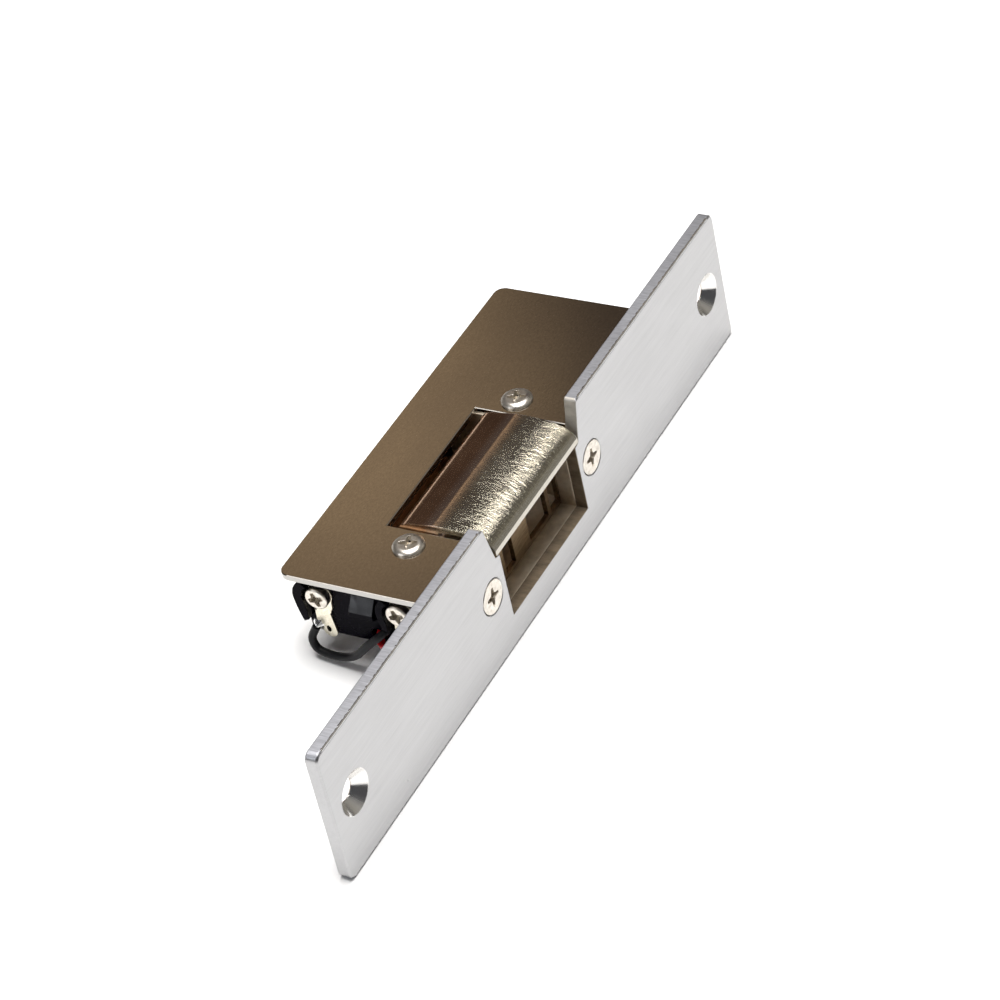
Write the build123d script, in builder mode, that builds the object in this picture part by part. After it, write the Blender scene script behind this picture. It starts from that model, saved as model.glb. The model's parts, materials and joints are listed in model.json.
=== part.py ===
from build123d import *
from math import cos, hypot, pi, radians, sin, tan
import os

# Electric door strike.  Millimetres.
# X runs along the faceplate, the wiring end at -X and the coil end at +X.
# Y runs from the faceplate into the jamb.
# Z runs across the faceplate: the keeper and the cover plate are on the +Z side.
# Depths are drawn from the faceplate's front face.  save() then moves every piece
# forward by the faceplate's thickness, so the origin of the finished files is the
# centre of the faceplate's rear face, which beds on the jamb.

# ---------------------------------------------------------------- overall sizes
plate_length = 160.0
plate_width = 30.0
plate_thickness = 2.5
plate_corner = 1.6
plate_edge = 0.35
body_depth = 35.6            # faceplate front face to the rear edge of the cover
body_top = 9.9               # outer face of the cover plate above the centre line
body_bottom = -10.1
cover_left = -35.3
cover_right = 53.5
cover_thickness = 1.2
cover_corner = 2.2
keeper_half = 16.7           # half the keeper's width; the bay and its openings follow it
keeper_y = 17.0              # the keeper's axis
keeper_z = 6.2

# ---------------------------------------------------------------- faceplate holes
jamb_end = 7.4               # jamb screw hole to the faceplate's end
jamb_spacing = plate_length - 2 * jamb_end
jamb_hole = 2.3              # radius
jamb_sink = 4.4              # countersink radius at the front face
face_screw_x = keeper_half + 3.8      # the screws that hold the faceplate to the body
face_screw_r = 1.9
face_head_r = 3.45
face_sink = 3.75
face_screw_length = 9.0
face_cross = (2.0, 0.28, 0.62)
face_cross_turn = 6.0        # degrees
opening_half = keeper_half - 1.1      # latch opening
opening_low = -8.7
ledge_z = 6.1                # the opening widens here into the keeper's notch
notch_half = keeper_half + 0.35
notch_flare = notch_half + 2.05       # half width of the notch at the plate's edge

# ---------------------------------------------------------------- fits and clearances
running = 0.05               # pin to bore, radial, where something turns
seat = 0.02                  # pin or screw to bore, radial, where nothing turns
side_gap = 0.5               # keeper to the bay's side walls
mesh_gap = 0.2               # cam to nose, and finger to tail

# ---------------------------------------------------------------- housing
wall = 1.8
floor_thickness = 1.4
housing_left = -25.0
end_wall = 2.2
edge_inset = 0.4             # the casting stands back this far under the cover's edges
inner_wall = 2.0
housing_top = body_top - cover_thickness
floor_z = body_bottom + floor_thickness
housing_right = cover_right - edge_inset
housing_rear = body_depth - edge_inset
bay_half = keeper_half + side_gap + 0.1
bay_wall = bay_half + inner_wall
rear_inner = housing_rear - wall
front_rim = 5.8              # rear face of the casting's rim round the latch opening
coil_end = housing_right - end_wall
guide_slots = ((-0.844, -0.486), (-0.376, -0.162), (0.185, 0.624), (0.688, 0.89))   # of bay_half

# ---------------------------------------------------------------- cover
cutout_half = keeper_half + 0.95
cutout_rear = keeper_y + 4.85
cover_screw_x = keeper_half + 5.1
cover_screw_y = 14.95
cover_screw_r = 1.5
cover_head_r = 3.1
cover_head_h = 0.95
cover_head_rim = 0.35        # height of the head's upright rim
cover_head_crown = 2.0       # radius of its flat top
cover_screw_length = 7.5
cover_cross = (1.75, 0.30, 0.58)
small_cross_turn = 20.0      # degrees
boss_r = 2.6

# ---------------------------------------------------------------- keeper
keeper_hub = 4.2
keeper_pin_r = 1.5
lip_bottom = 6.75
lip_height = 1.15
keeper_open = 60.0           # degrees
tab_reach = 7.3              # from the pin's axis to the tab's rear edge

# ---------------------------------------------------------------- locking lever
lever_y = 28.5
lever_z = -4.5
lever_hub = 2.4
lever_pin_r = 1.25
lever_ratio = 0.2            # degrees of lever for each degree of keeper
lever_right = keeper_half + 0.2
lever_left = lever_right - 6.2
cam_left = lever_left + 0.1
cam_right = cam_left + 4.0
lever_sheet = 1.7
nose_y = 15.2
nose_z = -3.4
nose_r = 1.0
tail_top = -1.7
tail_slope = 20.0            # degrees, of the faces where finger and tail meet
rib_width = 1.9
rib_left = lever_left - 0.4 - rib_width
tab_left = -keeper_half + 1.7         # the keeper's tab over the return springs
tab_right = rib_left - 0.9

# ---------------------------------------------------------------- armature and coil
armature_x = bay_wall + 5.9           # the armature's face on the bay's side
armature_sheet = 1.5
armature_half = 5.0
armature_pin_y = 7.7
armature_pin_r = 1.0
barrel_r = 2.0
finger_front = 30.0
finger_rear = 31.8
finger_tip = lever_right - 1.5
finger_height = 2.2
armature_end = 32.9
coil_y = 17.0
core_r = 3.0
core_tenon_r = 2.0
core_face = armature_x + armature_sheet + 1.5
bobbin_left = core_face + 0.8
flange_r = 7.0
flange_t = 1.2
bobbin_wall = 0.9
winding_r = 6.3
yoke_t = 2.4
yoke_half = 6.0
yoke_arm_y = 6.5
yoke_left = armature_x + 4.5
coil_screw_r = 1.25
coil_screw_head_r = 2.7

# ---------------------------------------------------------------- terminals
block_face = -32.2
block_left = -34.5           # tips of the barriers beside the terminals
block_low = -5.6
block_top = 8.5
block_front = 4.4
block_rear = 33.2
terminal_y = (29.2, 12.0)
terminal_z = 4.1
terminal_head_r = 2.4
terminal_head_h = 1.7
terminal_screw_r = 1.25
terminal_screw_length = 7.0
insert_r = 2.1
insert_length = 5.0
tag_t = 0.5
cheek_r = (4.8, 4.3)         # the barriers' outer radii, rear terminal first
cheek_inner = 3.0
cheek_drop = 5.9             # how far a barrier reaches below its terminal's screw
hump_front = 17.6
hump_width = 5.0
lead_r = 0.8
lead_entry = ((15.6, -1.3), (18.8, -3.7))     # Y and Z where the two leads pass the block
entry_gap = 0.6              # radial, round each lead
passage = 4 * lead_r + 2.8   # width of the slot under the bay's walls for both leads
peg_r = 1.2
peg_y = (27.0, 8.5)
peg_z = -2.0
terminal_cross = (1.6, 0.38, 0.62)

# ---------------------------------------------------------------- springs
keeper_spring_r = 1.9
keeper_spring_wire = 0.3
keeper_spring_y = keeper_y + 5.4
keeper_spring_x = (tab_left + 3.5, tab_right - 3.5)
keeper_spring_top = 3.55
lever_spring_r = 1.35
lever_spring_wire = 0.22
lever_spring_x = lever_left + 2.3
lever_spring_y = 31.2
armature_spring_r = 1.3
armature_spring_wire = 0.22
armature_spring_y = 23.5

os.makedirs("parts", exist_ok=True)


def save(solid, name):
    """Labels one piece and writes its STEP file, with Y = 0 at the faceplate's rear face."""
    placed = solid.moved(Location((0, -plate_thickness, 0)))
    placed.label = name
    export_step(placed, "parts/" + name + ".step")


def cross(reach, tip, root):
    """Outline of a cross recess: half length, half width at the tips, and at the middle."""
    corners = []
    for k in range(4):
        for point in ((reach, -tip), (reach, tip), (root, root)):
            corners.append(turned(point, (0, 0), 90 * k))
    return corners


def turned(point, centre, angle):
    """A (y, z) point turned about a centre, from +Y towards +Z, in degrees."""
    a = radians(angle)
    dy = point[0] - centre[0]
    dz = point[1] - centre[1]
    return (centre[0] + dy * cos(a) - dz * sin(a), centre[1] + dy * sin(a) + dz * cos(a))


def along_y(y):
    """A plane facing +Y at the given depth, with local x along -X and local y along Z."""
    return Plane(origin=(0, y, 0), x_dir=(-1, 0, 0), z_dir=(0, 1, 0))


def along_x(x):
    """A plane facing +X at the given place, with local x along Y and local y along Z."""
    return Plane(origin=(x, 0, 0), x_dir=(0, 1, 0), z_dir=(1, 0, 0))


def facing_left(x):
    """A plane facing -X, with local x along -Y and local y along Z."""
    return Plane(origin=(x, 0, 0), x_dir=(0, -1, 0), z_dir=(-1, 0, 0))


# ================================================================ faceplate
with BuildPart() as faceplate:
    with BuildSketch(along_y(0)):
        RectangleRounded(plate_length, plate_width, plate_corner)
    extrude(amount=plate_thickness)
    front = faceplate.faces().sort_by(Axis.Y)[0]
    chamfer(front.edges(), length=plate_edge)
    with BuildSketch(along_y(0)) as opening:
        with BuildLine():
            Polyline(
                (-opening_half, opening_low),
                (opening_half, opening_low),
                (opening_half, ledge_z),
                (notch_half, ledge_z + 0.4),
                (notch_flare, plate_width / 2),
                (notch_flare, plate_width / 2 + 2),
                (-notch_flare, plate_width / 2 + 2),
                (-notch_flare, plate_width / 2),
                (-notch_half, ledge_z + 0.4),
                (-opening_half, ledge_z),
                close=True,
            )
        make_face()
    extrude(amount=plate_thickness, mode=Mode.SUBTRACT)
    mouth = faceplate.edges().filter_by(Axis.Y).filter_by_position(Axis.Z, 14, 16)
    fillet(mouth.filter_by_position(Axis.X, -20, 20), radius=0.7)
    with Locations(Plane.XZ):
        with Locations((-jamb_spacing / 2, 0), (jamb_spacing / 2, 0)):
            CounterSinkHole(jamb_hole, jamb_sink, depth=plate_thickness)
        with Locations((-face_screw_x, 0), (face_screw_x, 0)):
            CounterSinkHole(face_screw_r + 0.15, face_sink, depth=plate_thickness)
save(faceplate.part, "faceplate")

# ================================================================ faceplate screws
with BuildPart() as faceplate_screws:
    for x in (-face_screw_x, face_screw_x):
        cone = face_head_r - face_screw_r
        with BuildSketch(Plane.XY):
            with BuildLine():
                Polyline(
                    (x, 0),
                    (x + face_head_r - 0.1, 0),
                    (x + face_head_r, 0.15),
                    (x + face_screw_r, 0.15 + cone),
                    (x + face_screw_r, face_screw_length - 0.8),
                    (x + face_screw_r - 0.8, face_screw_length),
                    (x, face_screw_length),
                    close=True,
                )
            make_face()
        revolve(axis=Axis((x, 0, 0), (0, 1, 0)))
        with BuildSketch(along_y(0)):
            with Locations((-x, 0)):
                Polygon(*cross(*face_cross), rotation=face_cross_turn, align=None)
        extrude(amount=1.3, taper=10, mode=Mode.SUBTRACT)
save(faceplate_screws.part, "faceplate_screws")

# ================================================================ housing
cavity_left = housing_left + wall
with BuildPart() as housing:
    with BuildSketch(Plane.XY.offset(body_bottom)):
        with Locations(((housing_left + housing_right) / 2, (plate_thickness + housing_rear) / 2)):
            Rectangle(housing_right - housing_left, housing_rear - plate_thickness)
    extrude(amount=housing_top - body_bottom)
    upright = housing.edges().filter_by(Axis.Z)
    fillet(upright.sort_by(Axis.Y)[-2:], radius=cover_corner)
    fillet(housing.faces().sort_by(Axis.Z)[0].edges(), radius=0.6)
    # the keeper's bay
    with BuildSketch(Plane.XY.offset(floor_z)):
        with Locations((0, (front_rim + rear_inner) / 2)):
            Rectangle(2 * bay_half, rear_inner - front_rim)
    extrude(amount=housing_top - floor_z, mode=Mode.SUBTRACT)
    # the coil's bay, behind the right faceplate screw's boss
    boss_rear = plate_thickness + face_screw_length
    coil_left = face_screw_x + boss_r + 1.1
    with BuildSketch(Plane.XY.offset(floor_z)):
        with Locations(((bay_wall + coil_end) / 2, (boss_rear + rear_inner) / 2)):
            Rectangle(coil_end - bay_wall, rear_inner - boss_rear)
        with Locations(((coil_left + coil_end) / 2, (plate_thickness + wall + boss_rear + 1) / 2)):
            Rectangle(coil_end - coil_left, boss_rear + 1 - plate_thickness - wall)
    extrude(amount=housing_top - floor_z, mode=Mode.SUBTRACT)
    # the wiring cavity on the left
    with BuildSketch(Plane.XY.offset(floor_z)):
        with Locations(((cavity_left - bay_wall) / 2, (boss_rear + 1 + rear_inner) / 2)):
            Rectangle(-bay_wall - cavity_left, rear_inner - boss_rear - 1)
    extrude(amount=housing_top - floor_z, mode=Mode.SUBTRACT)
    # bosses for the cover screws; the left one stops above the leads
    with BuildSketch(Plane.XY.offset(floor_z)):
        with Locations((cover_screw_x, cover_screw_y)):
            Circle(boss_r)
    extrude(amount=housing_top - floor_z)
    with BuildSketch(Plane.XY.offset(housing_top - cover_screw_length - 0.5)):
        with Locations((-cover_screw_x, cover_screw_y)):
            Circle(boss_r)
    extrude(amount=cover_screw_length + 0.5)
    # the latch opening through the rim, and the keeper's notch above it
    with BuildSketch(along_y(plate_thickness)):
        with BuildLine():
            Polyline(
                (-opening_half, opening_low),
                (opening_half, opening_low),
                (opening_half, ledge_z),
                (bay_half, ledge_z + 0.4),
                (bay_half, housing_top + 1),
                (-bay_half, housing_top + 1),
                (-bay_half, ledge_z + 0.4),
                (-opening_half, ledge_z),
                close=True,
            )
        make_face()
    extrude(amount=front_rim - plate_thickness + 0.1, mode=Mode.SUBTRACT)
    # the rib that carries the lever pin's inner end
    with BuildSketch(along_x(rib_left)):
        with Locations((lever_y, (floor_z + lever_z) / 2)):
            Rectangle(2 * lever_hub, lever_z - floor_z)
        with Locations((lever_y, lever_z)):
            Circle(lever_hub)
    extrude(amount=rib_width)
    # the boss under the armature's pin
    pin_x = armature_x + barrel_r
    with BuildSketch(Plane.XY.offset(floor_z)):
        with Locations((pin_x, armature_pin_y)):
            Circle(2.3)
    extrude(amount=-armature_half - 0.3 - floor_z)
    with BuildSketch(Plane.XY.offset(floor_z)):
        with Locations((pin_x, armature_pin_y)):
            Circle(armature_pin_r + seat)
    extrude(amount=-armature_half - floor_z, mode=Mode.SUBTRACT)
    # the window for the armature's finger
    with BuildSketch(along_x(bay_half - 0.5)):
        with Locations(((finger_front + rear_inner) / 2 - 0.3, tail_top + 0.8)):
            Rectangle(rear_inner - finger_front + 0.6, 5.2)
    extrude(amount=inner_wall + 1, mode=Mode.SUBTRACT)
    # bores: keeper pin, lever pin, lead holes, screws
    with BuildSketch(along_x(-bay_wall)):
        with Locations((keeper_y, keeper_z)):
            Circle(keeper_pin_r + seat)
    extrude(amount=2 * bay_wall, mode=Mode.SUBTRACT)
    with BuildSketch(along_x(rib_left)):
        with Locations((lever_y, lever_z)):
            Circle(lever_pin_r + seat)
    extrude(amount=bay_wall - rib_left, mode=Mode.SUBTRACT)
    for start, thick, wide in (
        (-bay_wall, inner_wall, passage),
        (bay_half, inner_wall, passage),
        (rib_left, rib_width, passage - 1.0),
    ):
        with BuildSketch(along_x(start - 0.1)):
            with Locations((rear_inner - wide / 2, floor_z + lead_r + 0.2)):
                Rectangle(wide, 2 * lead_r + 0.4)
        extrude(amount=thick + 0.2, mode=Mode.SUBTRACT)
    with BuildSketch(along_x(housing_left - 0.1)):
        with Locations(*lead_entry):
            Circle(lead_r + entry_gap)
    extrude(amount=wall + 0.3, mode=Mode.SUBTRACT)
    with BuildSketch(along_y(plate_thickness)):
        with Locations((-face_screw_x, 0), (face_screw_x, 0)):
            Circle(face_screw_r + seat)
    extrude(amount=face_screw_length - plate_thickness + 0.5, mode=Mode.SUBTRACT)
    with BuildSketch(Plane.XY.offset(housing_top - cover_screw_length)):
        with Locations((-cover_screw_x, cover_screw_y), (cover_screw_x, cover_screw_y)):
            Circle(cover_screw_r + seat)
    extrude(amount=cover_screw_length, mode=Mode.SUBTRACT)
    # the coil screw's countersunk hole in the end wall
    with Locations(Plane(origin=(housing_right, coil_y, 0), x_dir=(0, 1, 0), z_dir=(1, 0, 0))):
        CounterSinkHole(coil_screw_r + 0.25 + seat, coil_screw_head_r + 0.2, depth=end_wall)
    # blind holes for the terminal block's two pegs
    with BuildSketch(along_x(housing_left)):
        with Locations((peg_y[0], peg_z), (peg_y[1], peg_z)):
            Circle(peg_r + seat)
    extrude(amount=1.5, mode=Mode.SUBTRACT)
save(housing.part, "housing")

# ================================================================ cover plate
with BuildPart() as cover_plate:
    with BuildSketch(Plane.XY.offset(housing_top)):
        with Locations(((cover_left + cover_right) / 2, (plate_thickness + body_depth) / 2)):
            RectangleRounded(cover_right - cover_left, body_depth - plate_thickness, cover_corner)
        with Locations((0, cutout_rear / 2)):
            Rectangle(2 * cutout_half, cutout_rear, mode=Mode.SUBTRACT)
        with Locations((-cover_screw_x, cover_screw_y), (cover_screw_x, cover_screw_y)):
            Circle(cover_screw_r + 0.15, mode=Mode.SUBTRACT)
    extrude(amount=cover_thickness)
    chamfer(cover_plate.faces().sort_by(Axis.Z)[-1].edges().filter_by(GeomType.LINE), length=0.15)
save(cover_plate.part, "cover_plate")

with BuildPart() as cover_screws:
    for x in (-cover_screw_x, cover_screw_x):
        with BuildSketch(Plane.XZ.offset(-cover_screw_y)):
            with BuildLine():
                rim_top = (x + cover_head_r, body_top + cover_head_rim)
                crown_edge = (x + cover_head_crown, body_top + cover_head_h)
                Polyline(
                    crown_edge,
                    (x, body_top + cover_head_h),
                    (x, body_top - cover_screw_length),
                    (x + cover_screw_r, body_top - cover_screw_length),
                    (x + cover_screw_r, body_top),
                    (x + cover_head_r, body_top),
                    rim_top,
                )
                ThreePointArc(rim_top, (x + 2.66, body_top + 0.74), crown_edge)
            make_face()
        revolve(axis=Axis((x, cover_screw_y, 0), (0, 0, 1)))
    with BuildSketch(Plane.XY.offset(body_top + cover_head_h)):
        with Locations((-cover_screw_x, cover_screw_y), (cover_screw_x, cover_screw_y)):
            Polygon(*cross(*cover_cross), rotation=small_cross_turn, align=None)
    extrude(amount=-1.2, taper=10, mode=Mode.SUBTRACT)
save(cover_screws.part, "cover_screws")

# ================================================================ keeper
# The cam's outline leaves mesh_gap to the nose of the locking lever at every
# angle of the keeper, while the lever turns lever_ratio times as far.
pivot = (keeper_y, keeper_z)
lever_pivot = (lever_y, lever_z)
cam_points = []
for step in range(12):
    angle = -4.0 + step * (keeper_open + 8.0) / 11
    nose = turned((nose_y, nose_z), lever_pivot, lever_ratio * angle)
    reach = hypot(nose[0] - keeper_y, nose[1] - keeper_z)
    inward = (reach - nose_r - mesh_gap) / reach
    onto = (keeper_y + (nose[0] - keeper_y) * inward, keeper_z + (nose[1] - keeper_z) * inward)
    cam_points.append(turned(onto, pivot, angle))

with BuildPart() as keeper:
    with BuildSketch(along_x(-keeper_half)):
        with BuildLine():
            top_rear = turned((keeper_y + keeper_hub, keeper_z), pivot, 79)
            under_rear = turned((keeper_y + keeper_hub, keeper_z), pivot, 165)
            ridge = (12.4, 11.15)
            lip_top = (0.05, lip_bottom + lip_height + 0.3)
            lip_face = (-0.15, lip_bottom + lip_height - 0.1)
            Line(top_rear, ridge)
            Spline(ridge, (7.2, 11.0), (2.8, 10.15), lip_top, tangents=((-1, 0), (-0.5, -0.87)))
            Line(lip_top, lip_face)
            Line(lip_face, (-0.2, lip_bottom))
            Line((-0.2, lip_bottom), (0.9, lip_bottom))
            ThreePointArc((0.9, lip_bottom), (1.6, 8.1), (3.2, 9.0))
            ThreePointArc((3.2, 9.0), (7.0, 9.75), (11.5, 9.6))
            Line((11.5, 9.6), under_rear)
            Line(under_rear, pivot)
            Line(pivot, top_rear)
        make_face()
        with Locations(pivot):
            Circle(keeper_hub)
    extrude(amount=2 * keeper_half)
    # the cam that the locking lever holds
    with BuildSketch(along_x(cam_left)):
        with BuildLine():
            Spline(*cam_points)
            Line(cam_points[-1], pivot)
            Line(pivot, cam_points[0])
        make_face()
    extrude(amount=cam_right - cam_left)
    # the tab that the return springs push up
    with BuildSketch(along_x(tab_left)):
        with BuildLine():
            Polyline(
                (keeper_y, keeper_spring_top),
                (keeper_y + tab_reach, keeper_spring_top),
                (keeper_y + tab_reach, keeper_spring_top + 1.8),
                (keeper_y + 2.5, keeper_z + 0.8),
                (keeper_y, keeper_z),
                close=True,
            )
        make_face()
    extrude(amount=tab_right - tab_left)
    # the pin's bore
    with BuildSketch(along_x(-keeper_half)):
        with Locations(pivot):
            Circle(keeper_pin_r + running)
    extrude(amount=2 * keeper_half, mode=Mode.SUBTRACT)
    fillet(keeper.edges().filter_by(Axis.X).sort_by_distance((0, *ridge))[0], radius=3.0)
save(keeper.part, "keeper")

with BuildPart() as keeper_pin:
    with BuildSketch(along_x(-bay_wall)):
        with Locations(pivot):
            Circle(keeper_pin_r)
    extrude(amount=2 * bay_wall)
    chamfer(keeper_pin.edges().filter_by(GeomType.CIRCLE), length=0.25)
save(keeper_pin.part, "keeper_pin")


def spring(foot, radius, wire, height, turns, lean=0):
    """A compression spring that fills the height above its foot, leaning from +Z towards +X."""
    pitch = (height - 2 * wire) / turns
    path = Helix(pitch, height - 2 * wire, radius - wire, center=(0, 0, wire))
    with BuildPart() as coil:
        with BuildSketch(Plane(origin=path @ 0, z_dir=path % 0)):
            Circle(wire)
        sweep(path=path)
    return coil.part.moved(Location(foot, (0, lean, 0)))


spring_height = keeper_spring_top - floor_z
keeper_springs = Compound(children=[
    spring((x, keeper_spring_y, floor_z), keeper_spring_r, keeper_spring_wire, spring_height, 8)
    for x in keeper_spring_x
])
save(keeper_springs, "keeper_springs")

# ================================================================ latch guide
with BuildPart() as latch_guide:
    with BuildSketch(along_y(front_rim + 0.1)):
        with Locations((0, (floor_z + 4.5) / 2)):
            Rectangle(2 * bay_half - 0.2, 4.5 - floor_z)
        for left, right in guide_slots:
            with Locations((-(left + right) / 2 * bay_half, -3.2)):
                Rectangle((right - left) * bay_half, 9.2, mode=Mode.SUBTRACT)
    extrude(amount=1.0)
save(latch_guide.part, "latch_guide")

# ================================================================ locking lever
seat_z = tail_top - 0.4      # the tail's upper face, under the spring
with BuildPart() as locking_lever:
    with BuildSketch(along_x(lever_right - lever_sheet)):
        with BuildLine():
            Polyline(
                (nose_y - nose_r, nose_z),
                (nose_y - nose_r, nose_z - nose_r),
                (lever_y, lever_z - lever_hub),
                (lever_y + 3.0, lever_z - 1.5),
                (armature_end - 0.2, tail_top - 2.0),
                (armature_end - 0.2, seat_z),
                (lever_y - 0.5, seat_z),
                (nose_y + nose_r + 3, nose_z + 1.2),
                (nose_y + nose_r, nose_z + 0.4),
                (nose_y + nose_r, nose_z),
                close=True,
            )
        make_face()
        with Locations((nose_y, nose_z)):
            Circle(nose_r)
    extrude(amount=lever_sheet)
    # the nose, a rounded bar that reaches under the cam
    with BuildSketch(along_x(cam_left)):
        with Locations((nose_y, nose_z)):
            Circle(nose_r)
        with Locations((nose_y, nose_z - nose_r / 2)):
            Rectangle(2 * nose_r, nose_r)
    extrude(amount=lever_right - cam_left)
    # the hub and the spring's seat
    with BuildSketch(along_x(lever_left)):
        with Locations(lever_pivot):
            Circle(lever_hub)
    extrude(amount=lever_right - lever_left)
    with BuildSketch(along_x(lever_left + 0.4)):
        with Locations((lever_y + 2.6, tail_top - 1.2)):
            Rectangle(3.6, 1.6)
    extrude(amount=lever_right - lever_left - 0.4)
    # the sloped face under the armature's finger
    with BuildSketch(Plane.XZ.offset(-(armature_end + 1))):
        with BuildLine():
            slope_start = finger_tip - 0.2
            slope_end = lever_right + 1
            drop = (slope_end - slope_start) * tan(radians(tail_slope))
            Polyline(
                (slope_start, tail_top + 3),
                (slope_start, seat_z),
                (slope_end, seat_z - drop),
                (slope_end, tail_top + 3),
                close=True,
            )
        make_face()
    extrude(amount=armature_end + 1 - lever_y, mode=Mode.SUBTRACT)
    with BuildSketch(along_x(lever_left)):
        with Locations(lever_pivot):
            Circle(lever_pin_r + running)
    extrude(amount=lever_right - lever_left, mode=Mode.SUBTRACT)
save(locking_lever.part, "locking_lever")

with BuildPart() as lever_pin:
    with BuildSketch(along_x(rib_left)):
        with Locations(lever_pivot):
            Circle(lever_pin_r)
    extrude(amount=bay_wall - rib_left)
    chamfer(lever_pin.edges().filter_by(GeomType.CIRCLE), length=0.2)
save(lever_pin.part, "lever_pin")

lever_spring_foot = (lever_spring_x, lever_spring_y, seat_z)
lever_spring = spring(lever_spring_foot, lever_spring_r, lever_spring_wire, housing_top - seat_z, 9)
save(lever_spring, "lever_spring")

# ================================================================ armature
with BuildPart() as armature:
    with BuildSketch(Plane.XY.offset(-armature_half)):
        with Locations((armature_x + armature_sheet / 2, (armature_pin_y + armature_end) / 2)):
            Rectangle(armature_sheet, armature_end - armature_pin_y)
        with Locations((pin_x, armature_pin_y)):
            Circle(barrel_r)
    extrude(amount=2 * armature_half)
    # the finger over the lever's tail; its underside slopes like the tail's face
    finger_low = seat_z + mesh_gap
    with BuildSketch(Plane.XZ.offset(-finger_front)):
        with BuildLine():
            Polyline(
                (finger_tip, finger_low),
                (finger_tip + 2.4, finger_low - 2.4 * tan(radians(tail_slope))),
                (armature_x + 0.5, finger_low - 2.4 * tan(radians(tail_slope))),
                (armature_x + 0.5, finger_low + finger_height),
                (finger_tip, finger_low + finger_height),
                close=True,
            )
        make_face()
    extrude(amount=-(finger_rear - finger_front))
    with BuildSketch(Plane.XY.offset(-armature_half)):
        with Locations((pin_x, armature_pin_y)):
            Circle(armature_pin_r + running)
    extrude(amount=2 * armature_half, mode=Mode.SUBTRACT)
save(armature.part, "armature")

with BuildPart() as armature_pin:
    with BuildSketch(Plane.XY.offset(floor_z)):
        with Locations((pin_x, armature_pin_y)):
            Circle(armature_pin_r)
    extrude(amount=armature_half + 1.6 - floor_z)
    chamfer(armature_pin.edges().filter_by(GeomType.CIRCLE), length=0.2)
save(armature_pin.part, "armature_pin")

with BuildPart() as armature_clip:
    with BuildSketch(Plane.XY.offset(armature_half + 0.3)):
        with Locations((pin_x, armature_pin_y)):
            Circle(2.1)
            Circle(armature_pin_r + seat, mode=Mode.SUBTRACT)
        with Locations((pin_x + 1.5, armature_pin_y)):
            Rectangle(2.0, 0.9, mode=Mode.SUBTRACT)
    extrude(amount=0.6)
save(armature_clip.part, "armature_clip")

armature_spring_foot = (bay_wall, armature_spring_y, 0)
spring_gap = armature_x - bay_wall
armature_spring = spring(
    armature_spring_foot, armature_spring_r, armature_spring_wire, spring_gap, 5, lean=90
)
save(armature_spring, "armature_spring")

# ================================================================ coil
axis_x = Axis((0, coil_y, 0), (1, 0, 0))
yoke_base = coil_end - yoke_t
with BuildPart() as yoke:
    with BuildSketch(Plane.XY.offset(-yoke_half)):
        with Locations(((yoke_left + coil_end) / 2, yoke_arm_y + yoke_t / 2)):
            Rectangle(coil_end - yoke_left, yoke_t)
        with Locations(((yoke_base + coil_end) / 2, (yoke_arm_y + coil_y + flange_r) / 2)):
            Rectangle(yoke_t, coil_y + flange_r - yoke_arm_y)
    extrude(amount=2 * yoke_half)
    bend = yoke.edges().filter_by(Axis.Z).sort_by_distance((coil_end, yoke_arm_y, 0))[0]
    fillet(bend, radius=2.0)
    with BuildSketch(along_x(yoke_base)):
        with Locations((coil_y, 0)):
            Circle(core_tenon_r + seat)
    extrude(amount=yoke_t, mode=Mode.SUBTRACT)
save(yoke.part, "yoke")

with BuildPart() as core:
    with BuildSketch(along_x(core_face)):
        with Locations((coil_y, 0)):
            Circle(core_r)
    extrude(amount=yoke_base - core_face)
    with BuildSketch(along_x(yoke_base)):
        with Locations((coil_y, 0)):
            Circle(core_tenon_r)
    extrude(amount=yoke_t)
    chamfer(core.edges().filter_by(GeomType.CIRCLE).sort_by(Axis.X)[0], length=0.3)
    with BuildSketch(along_x(yoke_base - 4)):
        with Locations((coil_y, 0)):
            Circle(coil_screw_r + seat)
    extrude(amount=yoke_t + 4, mode=Mode.SUBTRACT)
save(core.part, "core")

with BuildPart() as bobbin:
    with BuildSketch(along_x(bobbin_left)):
        with Locations((coil_y, 0)):
            Circle(flange_r)
    extrude(amount=flange_t)
    with BuildSketch(along_x(yoke_base - flange_t)):
        with Locations((coil_y, 0)):
            Circle(flange_r)
    extrude(amount=flange_t)
    with BuildSketch(along_x(bobbin_left)):
        with Locations((coil_y, 0)):
            Circle(core_r + bobbin_wall)
    extrude(amount=yoke_base - bobbin_left)
    with BuildSketch(along_x(bobbin_left)):
        with Locations((coil_y, 0)):
            Circle(core_r + seat)
    extrude(amount=yoke_base - bobbin_left, mode=Mode.SUBTRACT)
save(bobbin.part, "bobbin")

with BuildPart() as winding:
    with BuildSketch(along_x(bobbin_left + flange_t)):
        with Locations((coil_y, 0)):
            Circle(winding_r)
            Circle(core_r + bobbin_wall, mode=Mode.SUBTRACT)
    extrude(amount=yoke_base - bobbin_left - 2 * flange_t)
    fillet(winding.edges().filter_by(GeomType.CIRCLE).group_by(SortBy.RADIUS)[-1], radius=0.4)
save(winding.part, "winding")

with BuildPart() as coil_screw:
    with BuildSketch(Plane.XY):
        with BuildLine():
            Polyline(
                (housing_right, coil_y),
                (housing_right, coil_y + coil_screw_head_r),
                (housing_right - 1.4, coil_y + coil_screw_r),
                (yoke_base - 3.5, coil_y + coil_screw_r),
                (yoke_base - 3.5, coil_y),
                close=True,
            )
        make_face()
    revolve(axis=axis_x)
    with BuildSketch(along_x(housing_right)):
        with Locations((coil_y, 0)):
            Rectangle(3.0, 0.6)
            Rectangle(0.6, 3.0)
    extrude(amount=-1.0, taper=12, mode=Mode.SUBTRACT)
save(coil_screw.part, "coil_screw")

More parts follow.
